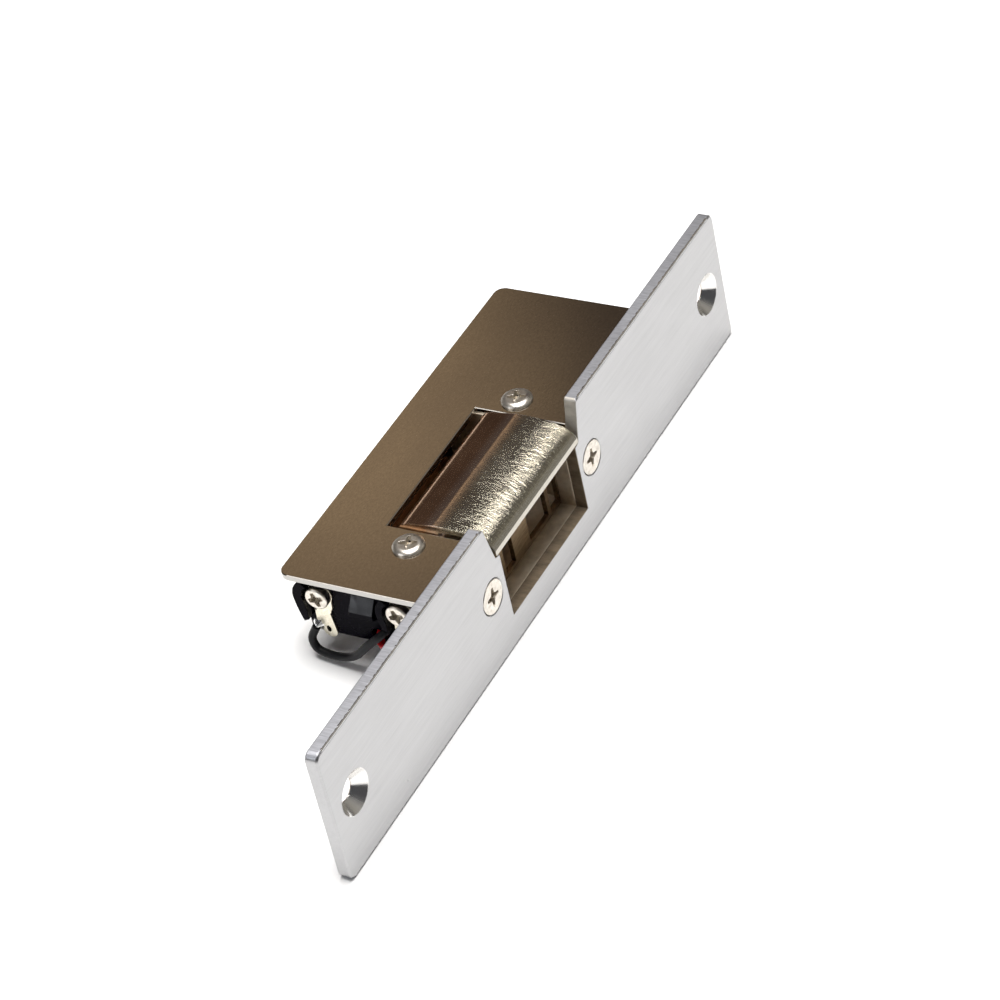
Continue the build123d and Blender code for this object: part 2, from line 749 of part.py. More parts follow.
# ================================================================ terminal block
with BuildPart() as terminal_block:
    with BuildSketch(along_x(block_face)):
        with Locations(((block_front + block_rear) / 2, (block_low + block_top) / 2)):
            RectangleRounded(block_rear - block_front, block_top - block_low, 1.2)
    extrude(amount=housing_left - block_face)
    # curved barriers on the rear side of each terminal
    for y, outer in zip(terminal_y, cheek_r):
        inner = cheek_inner
        with BuildSketch(along_x(block_left)):
            with BuildLine():
                centre = (y, terminal_z)
                outer_side = (y + outer, terminal_z)
                inner_side = (y + inner, terminal_z)
                outer_top = turned(outer_side, centre, 55)
                inner_top = turned(inner_side, centre, 60)
                outer_foot = (y + outer - 1.1, terminal_z - cheek_drop)
                inner_foot = (y + inner - 0.35, terminal_z - cheek_drop + 0.5)
                ThreePointArc(outer_top, turned(outer_side, centre, 28), outer_side)
                ThreePointArc(outer_side, (y + outer - 0.35, terminal_z - 2.9), outer_foot)
                Line(outer_foot, inner_foot)
                ThreePointArc(inner_foot, (y + inner - 0.4, terminal_z - 2.6), inner_side)
                ThreePointArc(inner_side, turned(inner_side, centre, 30), inner_top)
                Line(inner_top, outer_top)
            make_face()
        extrude(amount=block_face - block_left)
    # the stepped hump between the terminals
    with BuildSketch(Plane.XZ.offset(-hump_front)):
        with BuildLine():
            Polyline(
                (block_face + 1, 5.2),
                (block_face, 5.2),
                (block_left + 0.3, 2.6),
                (block_left + 0.3, 1.5),
                (block_face, 0.4),
                (block_face + 1, 0.4),
                close=True,
            )
        make_face()
    extrude(amount=-hump_width)
    # pegs in the housing's wall
    with BuildSketch(along_x(housing_left)):
        with Locations((peg_y[0], peg_z), (peg_y[1], peg_z)):
            Circle(peg_r)
    extrude(amount=1.4)
    # holes for the two leads, and for the threaded inserts
    with BuildSketch(along_x(block_left - 1)):
        with Locations(*lead_entry):
            Circle(lead_r + entry_gap)
    extrude(amount=housing_left - block_left + 1, mode=Mode.SUBTRACT)
    with BuildSketch(along_x(block_face)):
        for y in terminal_y:
            with Locations((y, terminal_z)):
                Circle(insert_r + seat)
    extrude(amount=insert_length, mode=Mode.SUBTRACT)
save(terminal_block.part, "terminal_block")

with BuildPart() as terminal_inserts:
    for y in terminal_y:
        with BuildSketch(along_x(block_face)):
            with Locations((y, terminal_z)):
                Circle(insert_r)
                Circle(terminal_screw_r + seat, mode=Mode.SUBTRACT)
        extrude(amount=insert_length)
save(terminal_inserts.part, "terminal_inserts")

with BuildPart() as solder_tags:
    for y in terminal_y:
        with BuildSketch(along_x(block_face - tag_t)):
            with Locations((y, terminal_z)):
                Circle(2.5)
            with BuildLine():
                Polyline(
                    (y + 2.1, terminal_z - 1.0),
                    (y + 2.2, terminal_z - 6.9),
                    (y + 2.7, terminal_z - 8.2),
                    (y + 1.9, terminal_z - 8.9),
                    (y + 1.2, terminal_z - 8.2),
                    (y + 0.2, terminal_z - 10.2),
                    (y - 1.6, terminal_z - 9.0),
                    (y - 1.1, terminal_z - 4.8),
                    (y - 1.9, terminal_z - 3.1),
                    (y - 2.1, terminal_z - 1.0),
                    close=True,
                )
            make_face()
            with Locations((y - 0.1, terminal_z - 9.0)):
                Circle(1.5)
            with Locations((y + 0.1, terminal_z - 8.6)):
                Ellipse(0.5, 0.75, mode=Mode.SUBTRACT)
            with Locations((y, terminal_z)):
                Circle(terminal_screw_r + 0.1, mode=Mode.SUBTRACT)
        extrude(amount=tag_t)
save(solder_tags.part, "solder_tags")

with BuildPart() as terminal_screws:
    head_base = block_face - tag_t
    for y in terminal_y:
        with BuildSketch(facing_left(head_base)):
            with Locations((-y, terminal_z)):
                Circle(terminal_head_r)
        extrude(amount=terminal_head_h)
        with BuildSketch(facing_left(head_base)):
            with Locations((-y, terminal_z)):
                Circle(terminal_screw_r)
        extrude(amount=-terminal_screw_length + terminal_head_h)
    rims = terminal_screws.faces().filter_by(Axis.X).group_by(Axis.X)[0].edges()
    fillet(rims, radius=0.5)
    with BuildSketch(facing_left(head_base - terminal_head_h)):
        for y in terminal_y:
            with Locations((-y, terminal_z)):
                Polygon(*cross(*terminal_cross), rotation=small_cross_turn, align=None)
    extrude(amount=-1.2, taper=10, mode=Mode.SUBTRACT)
save(terminal_screws.part, "terminal_screws")


# ================================================================ leads
def lead(points, name):
    """Writes a round lead whose straight runs join in arcs as large as their runs allow."""
    radii = []
    for before, here, after in zip(points, points[1:], points[2:]):
        first = Vector(*here) - Vector(*before)
        second = Vector(*after) - Vector(*here)
        turn = radians(first.get_angle(second))
        radii.append(0.45 * min(first.length, second.length) / tan(turn / 2))
    with BuildPart() as tube:
        with BuildLine() as path:
            FilletPolyline(*points, radius=radii)
        route = path.wires()[0]
        with BuildSketch(Plane(origin=route @ 0, z_dir=route % 0)):
            Circle(lead_r)
        sweep(path=route)
    section = pi * lead_r ** 2
    print(name, "radii", [round(r, 1) for r in radii], "length", round(route.length, 1))
    print(name, "volume", round(tube.part.volume, 2), "expected", round(section * route.length, 2))
    save(tube.part, name)


lead_floor = floor_z + lead_r + 0.1
rear_lane = rear_inner - lead_r - 0.9
front_lane = rear_inner - 3 * lead_r - 1.3
lead_start = block_face - tag_t - lead_r - 0.02
red_lane = cavity_left + lead_r + 0.25
black_lane = red_lane + 2 * lead_r + 0.3
lead(
    [
        (lead_start, terminal_y[0] + 2.2, terminal_z - 7.9),
        (-34.2, 32.8, -6.3),
        (-34.5, 31.9, -8.7),
        (-34.6, 28.2, -9.5),
        (-34.6, 23.6, -8.6),
        (-34.9, 19.8, -4.4),
        (-34.2, 16.4, -1.5),
        (-31.4, lead_entry[0][0], lead_entry[0][1]),
        (-22.0, lead_entry[0][0], lead_entry[0][1]),
        (black_lane, 19.0, -3.9),
        (black_lane, 25.0, -6.6),
        (black_lane, front_lane - 1.9, lead_floor),
        (-17.2, front_lane, lead_floor),
        (24.0, front_lane, lead_floor),
        (30.4, 27.0, -6.6),
        (33.0, 23.8, -3.2),
    ],
    "lead_black",
)
lead(
    [
        (lead_start, terminal_y[1] + 2.2, terminal_z - 7.9),
        (-33.5, 15.2, -5.4),
        (-33.5, 17.8, -5.0),
        (-31.4, lead_entry[1][0], lead_entry[1][1]),
        (red_lane, lead_entry[1][0], lead_entry[1][1]),
        (red_lane, 23.0, -6.4),
        (red_lane, rear_lane - 2.4, lead_floor),
        (-18.4, rear_lane, lead_floor),
        (28.0, rear_lane, lead_floor),
        (38.0, 28.6, -6.6),
        (42.0, 23.8, -3.2),
    ],
    "lead_red",
)
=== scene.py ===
"""Finishes, small surface details, light and camera for the electric door strike."""

from __future__ import annotations

import json
import logging
import math
import random
from dataclasses import dataclass
from enum import Enum
from typing import Sequence

import bpy
from mathutils import Matrix, Vector

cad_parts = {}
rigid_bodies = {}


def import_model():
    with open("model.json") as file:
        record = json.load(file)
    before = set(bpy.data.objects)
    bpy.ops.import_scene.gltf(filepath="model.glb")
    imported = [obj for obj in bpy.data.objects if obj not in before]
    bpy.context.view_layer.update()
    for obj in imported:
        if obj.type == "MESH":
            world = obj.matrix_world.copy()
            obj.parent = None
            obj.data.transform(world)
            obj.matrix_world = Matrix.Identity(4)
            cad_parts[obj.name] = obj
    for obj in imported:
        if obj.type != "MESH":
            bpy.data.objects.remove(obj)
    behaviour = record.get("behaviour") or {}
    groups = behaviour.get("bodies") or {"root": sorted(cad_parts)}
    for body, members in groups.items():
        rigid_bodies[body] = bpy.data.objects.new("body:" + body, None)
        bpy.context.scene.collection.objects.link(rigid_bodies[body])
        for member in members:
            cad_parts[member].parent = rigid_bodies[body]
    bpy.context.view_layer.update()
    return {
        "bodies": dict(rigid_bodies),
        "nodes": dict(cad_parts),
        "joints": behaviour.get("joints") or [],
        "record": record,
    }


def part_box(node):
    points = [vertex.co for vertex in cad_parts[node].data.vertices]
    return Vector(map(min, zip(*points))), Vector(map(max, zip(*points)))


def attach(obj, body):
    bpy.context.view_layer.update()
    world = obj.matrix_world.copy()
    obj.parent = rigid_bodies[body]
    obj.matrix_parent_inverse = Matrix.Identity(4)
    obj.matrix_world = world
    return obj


LOG = logging.getLogger("door_strike")
MM = 0.001

Color = tuple[float, float, float]
Triple = tuple[float, float, float]
Stops = tuple[tuple[float, Color], ...]
Finishes = dict[str, bpy.types.Material]


class Texture(Enum):
    """Kinds of procedural pattern that a finish is built from."""

    NOISE = "ShaderNodeTexNoise"
    VORONOI = "ShaderNodeTexVoronoi"
    WAVE = "ShaderNodeTexWave"


class Blend(Enum):
    """Ways of combining two colours."""

    MIX = "MIX"
    ADD = "ADD"


class Sum(Enum):
    """Sums that a finish does on its values."""

    ABSOLUTE = "ABSOLUTE"
    ADD = "ADD"
    LESS_THAN = "LESS_THAN"
    MINIMUM = "MINIMUM"
    MULTIPLY = "MULTIPLY"
    SUBTRACT = "SUBTRACT"


class Side(Enum):
    """The two ends of the strike along its faceplate."""

    WIRING = -1
    COIL = 1


class Graph:
    """A small builder for one material's node tree."""

    def __init__(self, name: str) -> None:
        """Starts a material with one principled shader.

        Args:
            name: the material's name.
        """
        self.material = bpy.data.materials.new(name)
        self.material.use_nodes = True
        self.tree = self.material.node_tree
        self.tree.nodes.clear()
        self.output = self.tree.nodes.new("ShaderNodeOutputMaterial")
        self.shader = self.tree.nodes.new("ShaderNodeBsdfPrincipled")
        self.link(self.shader.outputs["BSDF"], self.output.inputs["Surface"])
        self.coords = self.tree.nodes.new("ShaderNodeTexCoord").outputs["Object"]

    def link(self, source: bpy.types.NodeSocket, target: bpy.types.NodeSocket) -> None:
        """Joins two sockets."""
        self.tree.links.new(source, target)

    def feed(
        self,
        value: bpy.types.NodeSocket | float | Sequence[float],
        target: bpy.types.NodeSocket,
    ) -> None:
        """Links a socket, or sets a plain value.

        Args:
            value: the socket or number to use.
            target: the socket that takes it.
        """
        if isinstance(value, bpy.types.NodeSocket):
            self.link(value, target)
        else:
            target.default_value = value

    def set(self, **values: float | Sequence[float]) -> None:
        """Sets the shader's own sockets.

        Args:
            values: socket names with underscores for spaces, and their values.
        """
        for key, value in values.items():
            self.shader.inputs[key.replace("_", " ")].default_value = value

    def stretched(self, scale: Triple) -> bpy.types.NodeSocket:
        """Object coordinates scaled along each axis.

        Args:
            scale: cycles per metre along X, Y and Z.

        Returns:
            The scaled coordinates.
        """
        node = self.tree.nodes.new("ShaderNodeMapping")
        node.inputs["Scale"].default_value = scale
        self.link(self.coords, node.inputs["Vector"])
        return node.outputs["Vector"]

    def pattern(
        self,
        scale: Triple,
        kind: Texture = Texture.NOISE,
        detail: float = 4.0,
        roughness: float = 0.6,
        distortion: float = 0.0,
    ) -> bpy.types.NodeSocket:
        """A grey pattern from 0 to 1.

        Args:
            scale: cycles per metre along X, Y and Z.
            kind: which pattern.
            detail: number of octaves.
            roughness: weight of the fine octaves.
            distortion: how much the pattern wanders.

        Returns:
            The pattern's grey output.
        """
        node = self.tree.nodes.new(kind.value)
        node.inputs["Scale"].default_value = 1.0
        for key, value in (("Detail", detail), ("Roughness", roughness), ("Distortion", distortion)):
            if key in node.inputs:
                node.inputs[key].default_value = value
        self.link(self.stretched(scale), node.inputs["Vector"])
        wanted = "Fac" if kind is not Texture.VORONOI else "Distance"
        return node.outputs[wanted]

    def ramp(self, fac: bpy.types.NodeSocket, *stops: tuple[float, Color]) -> bpy.types.NodeSocket:
        """Colours a grey value.

        Args:
            fac: the grey value.
            stops: positions and colours.

        Returns:
            The colour output.
        """
        node = self.tree.nodes.new("ShaderNodeValToRGB")
        elements = node.color_ramp.elements
        while len(elements) < len(stops):
            elements.new(0.5)
        for element, (place, color) in zip(elements, stops):
            element.position = place
            element.color = (*color, 1.0)
        self.link(fac, node.inputs["Fac"])
        return node.outputs["Color"]

    def span(
        self,
        value: bpy.types.NodeSocket,
        low: float,
        high: float,
        to_low: float = 0.0,
        to_high: float = 1.0,
        smooth: bool = False,
    ) -> bpy.types.NodeSocket:
        """Maps a range of a value onto another range, clamped.

        Args:
            value: the value to map.
            low: start of the source range.
            high: end of the source range.
            to_low: result at low.
            to_high: result at high.
            smooth: whether the ends ease in.

        Returns:
            The mapped value.
        """
        node = self.tree.nodes.new("ShaderNodeMapRange")
        node.interpolation_type = "SMOOTHSTEP" if smooth else "LINEAR"
        for key, number in (("From Min", low), ("From Max", high), ("To Min", to_low), ("To Max", to_high)):
            node.inputs[key].default_value = number
        self.link(value, node.inputs["Value"])
        return node.outputs["Result"]

    def math(
        self,
        operation: Sum,
        first: bpy.types.NodeSocket | float,
        second: bpy.types.NodeSocket | float = 0.0,
    ) -> bpy.types.NodeSocket:
        """A sum on one or two values.

        Args:
            operation: which sum.
            first: the first value.
            second: the second value.

        Returns:
            The result.
        """
        node = self.tree.nodes.new("ShaderNodeMath")
        node.operation = operation.value
        self.feed(first, node.inputs[0])
        self.feed(second, node.inputs[1])
        return node.outputs["Value"]

    def mix(
        self,
        fac: bpy.types.NodeSocket | float,
        first: bpy.types.NodeSocket | Color,
        second: bpy.types.NodeSocket | Color,
    ) -> bpy.types.NodeSocket:
        """Combines two colours.

        Args:
            fac: share of the second colour.
            first: the first colour.
            second: the second colour.

        Returns:
            The combined colour.
        """
        node = self.tree.nodes.new("ShaderNodeMix")
        node.data_type = "RGBA"
        self.feed(fac, node.inputs["Factor"])
        for color, slot in ((first, 6), (second, 7)):
            plain = not isinstance(color, bpy.types.NodeSocket)
            self.feed((*color, 1.0) if plain else color, node.inputs[slot])
        return node.outputs[2]

    def place(self, axis: str) -> bpy.types.NodeSocket:
        """One object coordinate in metres.

        Args:
            axis: X, Y or Z.

        Returns:
            The coordinate.
        """
        node = self.tree.nodes.new("ShaderNodeSeparateXYZ")
        self.link(self.coords, node.inputs["Vector"])
        return node.outputs[axis]

    def near(self, centres: Sequence[tuple[float, float]], radius: float) -> bpy.types.NodeSocket:
        """Marks what lies within a radius of any of several lines along Y.

        Args:
            centres: X and Z of each line in metres.
            radius: the radius in metres.

        Returns:
            1 inside, 0 outside.
        """
        total: bpy.types.NodeSocket | float = 0.0
        for x, z in centres:
            across = self.math(Sum.SUBTRACT, self.place("X"), x)
            up = self.math(Sum.SUBTRACT, self.place("Z"), z)
            width = self.math(Sum.MULTIPLY, across, across)
            height = self.math(Sum.MULTIPLY, up, up)
            square = self.math(Sum.ADD, width, height)
            total = self.math(Sum.ADD, total, self.math(Sum.LESS_THAN, square, radius * radius))
        return self.math(Sum.MINIMUM, total, 1.0)

    def facing(self, axis: str) -> bpy.types.NodeSocket:
        """How squarely the surface faces along an axis, 0 to 1 either way.

        Args:
            axis: X, Y or Z.

        Returns:
            The absolute value of the normal's component.
        """
        geometry = self.tree.nodes.new("ShaderNodeNewGeometry")
        node = self.tree.nodes.new("ShaderNodeSeparateXYZ")
        self.link(geometry.outputs["True Normal"], node.inputs["Vector"])
        return self.math(Sum.ABSOLUTE, node.outputs[axis])

    def relief(self, *layers: tuple[bpy.types.NodeSocket, float, float], edge: float = 0.0) -> None:
        """Bumps the surface with several heights, one on top of the other.

        Args:
            layers: height, strength and depth in metres of each.
            edge: radius in metres by which sharp edges look rounded, or 0.
        """
        normal: bpy.types.NodeSocket | None = None
        if edge:
            softened = self.tree.nodes.new("ShaderNodeBevel")
            softened.samples = 6
            softened.inputs["Radius"].default_value = edge
            normal = softened.outputs["Normal"]
        for height, strength, depth in layers:
            node = self.tree.nodes.new("ShaderNodeBump")
            node.inputs["Strength"].default_value = strength
            node.inputs["Distance"].default_value = depth
            self.link(height, node.inputs["Height"])
            if normal is not None:
                self.link(normal, node.inputs["Normal"])
            normal = node.outputs["Normal"]
        if normal is not None:
            self.link(normal, self.shader.inputs["Normal"])

    def color(self, value: bpy.types.NodeSocket) -> None:
        """Sets the base colour from a socket."""
        self.link(value, self.shader.inputs["Base Color"])

    def roughness(self, value: bpy.types.NodeSocket) -> None:
        """Sets the roughness from a socket."""
        self.link(value, self.shader.inputs["Roughness"])


@dataclass(frozen=True)
class BrushedFaceplate:
    """Satin stainless sheet, brushed along its length, with sheared edges and turned countersinks."""

    name: str = "stainless_faceplate"
    pale: Color = (0.495, 0.495, 0.50)
    dull: Color = (0.425, 0.425, 0.43)
    sheared: Color = (0.58, 0.585, 0.625)
    # painted shade: the opening's walls below the ledge get this darker brown, which stands in for the
    # shade inside the latch opening; the notch walls above keep the paler notch_cut
    cut: Color = (0.36, 0.29, 0.21)
    notch_cut: Color = (0.60, 0.57, 0.52)
    bright_streak: Color = (0.545, 0.545, 0.55)
    dull_speck: Color = (0.36, 0.36, 0.365)
    torn: Color = (0.34, 0.345, 0.37)
    turned_face: Color = (0.80, 0.79, 0.77)
    # painted shade: the drilled walls round each face screw are coloured dark brown, standing in for the
    # shaded ring round the screw head
    bore_wall: Color = (0.42, 0.24, 0.12)
    jamb_end: float = 7.4 * MM
    sink: float = 4.5 * MM
    bore: float = 2.45 * MM
    notch_half: float = 19.6 * MM
    notch_low: float = 6.5 * MM
    edge: float = 0.3 * MM

    def material(self) -> bpy.types.Material:
        """Builds the material.

        Returns:
            The finished material.
        """
        g = Graph(self.name)
        g.set(Metallic=1.0)
        fine = g.pattern((110.0, 5200.0, 5200.0), detail=5.0, roughness=0.7)
        streak = g.pattern((26.0, 1100.0, 1100.0), detail=3.0, roughness=0.6)
        patch = g.pattern((35.0, 60.0, 60.0), detail=2.0, distortion=0.6)
        speck = g.pattern((2400.0, 2400.0, 2400.0), detail=2.0, roughness=0.8)
        body = g.ramp(fine, (0.30, self.dull), (0.68, self.pale))
        body = g.mix(g.span(streak, 0.35, 0.75, 0.0, 0.35), body, self.bright_streak)
        body = g.mix(g.span(speck, 0.62, 0.78, 0.0, 0.30), body, self.dull_speck)
        across = g.pattern((3400.0, 260.0, 260.0), detail=4.0, roughness=0.7)
        band = g.ramp(across, (0.28, self.torn), (0.70, self.sheared))
        upward = g.span(g.facing("Z"), 0.55, 0.8)
        sideways = g.span(g.facing("Y"), 0.6, 0.4)
        inside = g.math(Sum.LESS_THAN, g.math(Sum.ABSOLUTE, g.place("X")), self.notch_half)
        opening = g.math(Sum.MULTIPLY, inside, sideways)
        low = g.math(Sum.LESS_THAN, g.place("Z"), self.notch_low)
        body = g.mix(upward, body, band)
        mottle = g.pattern((700.0, 240.0, 700.0), detail=4.0)
        stain = g.span(mottle, 0.35, 0.7)
        # painted shade: darker brown on the opening walls below the ledge, mottled at random
        shaded_opening = g.mix(stain, self.cut, tuple(0.62 * c for c in self.cut))
        notch = g.mix(stain, self.notch_cut, tuple(0.7 * c for c in self.notch_cut))
        body = g.mix(opening, body, g.mix(low, notch, shaded_opening))
        first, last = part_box("faceplate")
        holes = ((first.x + self.jamb_end, 0.0), (last.x - self.jamb_end, 0.0))
        flat = g.span(g.facing("Y"), 0.93, 0.97)
        turned = g.math(Sum.MULTIPLY, g.near(holes, self.sink), g.math(Sum.SUBTRACT, 1.0, flat))
        drilled = g.math(Sum.MULTIPLY, g.near(holes, self.bore), sideways)
        body = g.mix(turned, body, self.turned_face)
        # painted shade: dark brown on the drilled walls round each screw head
        body = g.mix(drilled, body, self.bore_wall)
        g.color(body)
        rough = g.math(Sum.ADD, g.span(patch, 0.3, 0.7, 0.27, 0.35), g.math(Sum.MULTIPLY, upward, 0.2))
        rough = g.math(Sum.ADD, rough, g.math(Sum.MULTIPLY, opening, 0.2))
        rough = g.math(Sum.SUBTRACT, rough, g.math(Sum.MULTIPLY, turned, 0.17))
        g.roughness(rough)
        torn = g.math(Sum.MULTIPLY, across, upward)
        g.relief((fine, 0.32, 0.02 * MM), (torn, 0.5, 0.05 * MM), edge=self.edge)
        return g.material


@dataclass(frozen=True)
class SatinCover:
    """Thin satin stainless sheet with a fine even grain, tinted warm by a painted reflection of the warm
    room.
    """

    name: str = "stainless_cover"
    # painted reflection: the warm brown of these grain tones partly stands in for the warm room reflected
    # in the sheet
    pale: Color = (0.48, 0.435, 0.375)
    deep: Color = (0.35, 0.315, 0.27)
    cloudy: Color = (0.47, 0.41, 0.35)
    cut_edge: Color = (0.46, 0.45, 0.43)
    edge: float = 0.1 * MM

    def material(self) -> bpy.types.Material:
        """Builds the material.

        Returns:
            The finished material.
        """
        g = Graph(self.name)
        g.set(Metallic=1.0)
        grain = g.pattern((1500.0, 2600.0, 2600.0), detail=6.0, roughness=0.75)
        fine = g.pattern((160.0, 3600.0, 3600.0), detail=4.0, roughness=0.7)
        cloud = g.pattern((26.0, 34.0, 30.0), detail=3.0, roughness=0.5, distortion=0.4)
        body = g.ramp(grain, (0.32, self.deep), (0.70, self.pale))
        body = g.mix(g.span(cloud, 0.35, 0.7, 0.0, 0.30), body, self.cloudy)
        side = g.span(g.facing("Z"), 0.6, 0.3)
        g.color(g.mix(side, body, self.cut_edge))
        g.roughness(g.span(cloud, 0.3, 0.7, 0.11, 0.16))
        g.relief((grain, 0.12, 0.01 * MM), (fine, 0.10, 0.01 * MM), edge=self.edge)
        return g.material


@dataclass(frozen=True)
class GroundNickel:
    """Nickel plate over steel whose front was ground by hand across its width."""

    name: str = "nickel_keeper"
    pale: Color = (0.86, 0.81, 0.66)
    deep: Color = (0.34, 0.31, 0.26)
    middle: Color = (0.50, 0.465, 0.37)
    # painted reflection: the orange-brown of the polished rear's tones partly stands in for the warm room
    # reflected in it
    rear_pale: Color = (0.74, 0.48, 0.31)
    rear_deep: Color = (0.62, 0.38, 0.24)
    # painted highlight: a pale pinkish band over the ridge fillet that stands in for the soft highlight
    # across it
    ridge_tint: Color = (0.90, 0.72, 0.60)
    lip_tint: Color = (0.52, 0.49, 0.43)
    ground_from: float = 10.4 * MM
    lip: float = -2.0 * MM
    edge: float = 0.15 * MM

    def material(self) -> bpy.types.Material:
        """Builds the material.

        Returns:
            The finished material.
        """
        g = Graph(self.name)
        g.set(Metallic=1.0)
        depth = g.place("Y")
        front = g.span(depth, self.ground_from + 0.4 * MM, self.ground_from - 3.4 * MM, smooth=True)
        # painted highlight: the band across the ridge where the pale tint is laid
        ridge_highlight_band = g.span(depth, self.ground_from + 2.2 * MM, self.ground_from - 0.2 * MM, smooth=True)
        streak = g.pattern((2700.0, 460.0, 800.0), detail=6.0, roughness=0.75, distortion=0.9)
        dent = g.pattern((700.0, 260.0, 380.0), detail=3.0, roughness=0.6, distortion=0.7)
        polish = g.pattern((120.0, 2600.0, 2600.0), detail=3.0, roughness=0.6)
        cloud = g.pattern((90.0, 70.0, 90.0), detail=2.0, distortion=0.5)
        smooth = g.ramp(polish, (0.3, self.rear_deep), (0.7, self.rear_pale))
        smooth = g.mix(ridge_highlight_band, smooth, self.ridge_tint)
        rough = g.ramp(streak, (0.34, self.deep), (0.56, self.middle), (0.72, self.pale))
        body = g.mix(front, smooth, rough)
        lip = g.span(depth, self.lip + 0.1 * MM, self.lip - 0.3 * MM)
        g.color(g.mix(lip, body, self.lip_tint))
        shine = g.span(cloud, 0.3, 0.7, 0.14, 0.22)
        g.roughness(g.math(Sum.ADD, shine, g.math(Sum.MULTIPLY, front, 0.04)))
        ground = g.math(Sum.MULTIPLY, front, g.math(Sum.SUBTRACT, 1.0, lip))
        g.relief(
            (g.math(Sum.MULTIPLY, streak, ground), 0.8, 0.08 * MM),
            (g.math(Sum.MULTIPLY, dent, ground), 0.55, 0.17 * MM),
            (polish, 0.10, 0.01 * MM),
            edge=self.edge,
        )
        return g.material


@dataclass(frozen=True)
class PlatedMetal:
    """Plated or ground small hardware: screws, pins, tags, springs."""

    name: str
    pale: Color
    deep: Color
    rough: tuple[float, float] = (0.20, 0.34)
    grain: Triple = (1400.0, 1400.0, 1400.0)
    depth: float = 0.02 * MM
    edge: float = 0.08 * MM

    def material(self) -> bpy.types.Material:
        """Builds the material.

        Returns:
            The finished material.
        """
        g = Graph(self.name)
        g.set(Metallic=1.0)
        grain = g.pattern(self.grain, detail=4.0, roughness=0.65)
        stain = g.pattern((380.0, 380.0, 380.0), detail=3.0, distortion=0.6)
        body = g.ramp(grain, (0.3, self.deep), (0.7, self.pale))
        body = g.mix(g.span(stain, 0.55, 0.8, 0.0, 0.45), body, tuple(0.6 * c for c in self.deep))
        g.color(body)
        g.roughness(g.span(stain, 0.3, 0.7, self.rough[0], self.rough[1]))
        g.relief((grain, 0.3, self.depth), edge=self.edge)
        return g.material


@dataclass(frozen=True)
class CastZinc:
    """Die-cast zinc alloy, tumbled, with a dull skin and small flow marks."""

    name: str = "zinc_casting"
    # painted reflection: the warm brown cast of these tones partly stands in for warm light in the pocket;
    # the skin, pits and flow marks are the casting's own
    pale: Color = (0.80, 0.70, 0.56)
    deep: Color = (0.55, 0.47, 0.36)
    flow_mark: Color = (0.68, 0.61, 0.52)
    edge: float = 0.3 * MM

    def material(self) -> bpy.types.Material:
        """Builds the material.

        Returns:
            The finished material.
        """
        g = Graph(self.name)
        g.set(Metallic=0.9)
        skin = g.pattern((420.0, 420.0, 420.0), detail=6.0, roughness=0.7)
        flow = g.pattern((50.0, 90.0, 120.0), detail=3.0, distortion=2.5)
        pits = g.pattern((900.0, 900.0, 900.0), kind=Texture.VORONOI)
        body = g.ramp(skin, (0.3, self.deep), (0.72, self.pale))
        body = g.mix(g.span(flow, 0.45, 0.75, 0.0, 0.4), body, self.flow_mark)
        g.color(body)
        g.roughness(g.span(flow, 0.3, 0.7, 0.42, 0.58))
        pitting = g.span(pits, 0.0, 0.16)
        g.relief((skin, 0.35, 0.06 * MM), (pitting, 0.12, 0.05 * MM), edge=self.edge)
        return g.material


@dataclass(frozen=True)
class GlossMoulding:
    """Moulded plastic with a shine and slight sink marks."""

    name: str
    tint: Color
    worn: Color
    rough: tuple[float, float] = (0.14, 0.30)
    specular: float = 0.5
    edge: float = 0.2 * MM

    def material(self) -> bpy.types.Material:
        """Builds the material.

        Returns:
            The finished material.
        """
        g = Graph(self.name)
        g.set(Metallic=0.0)
        # painted shade: faces that do not face up get a much weaker shine, so the block's sides do not show
        # the pale floor reflected in them
        upward = g.span(g.facing("Z"), 0.05, 0.45, 0.06 * self.specular, self.specular)
        g.feed(upward, g.shader.inputs["Specular IOR Level"])
        sink = g.pattern((180.0, 180.0, 180.0), detail=2.0, distortion=0.5)
        dust = g.pattern((2600.0, 2600.0, 2600.0), detail=3.0, roughness=0.8)
        g.color(g.mix(g.span(dust, 0.60, 0.80, 0.0, 0.5), self.tint, self.worn))
        g.roughness(g.span(sink, 0.3, 0.7, self.rough[0], self.rough[1]))
        g.relief((sink, 0.25, 0.25 * MM), (dust, 0.08, 0.02 * MM), edge=self.edge)
        return g.material


@dataclass(frozen=True)
class LeadJacket:
    """Soft extruded insulation with faint lengthwise draw lines."""

    name: str
    tint: Color
    bloom: Color

    def material(self) -> bpy.types.Material:
        """Builds the material.

        Returns:
            The finished material.
        """
        g = Graph(self.name)
        g.set(Metallic=0.0, Specular_IOR_Level=0.18)
        bloom = g.pattern((260.0, 260.0, 260.0), detail=3.0)
        scuff = g.pattern((2200.0, 2200.0, 2200.0), detail=3.0, roughness=0.8)
        body = g.mix(g.span(bloom, 0.45, 0.75, 0.0, 0.5), self.tint, self.bloom)
        g.color(g.mix(g.span(scuff, 0.66, 0.8, 0.0, 0.35), body, self.bloom))
        g.roughness(g.span(bloom, 0.3, 0.7, 0.34, 0.5))
        g.relief((scuff, 0.2, 0.03 * MM), (bloom, 0.2, 0.1 * MM))
        return g.material


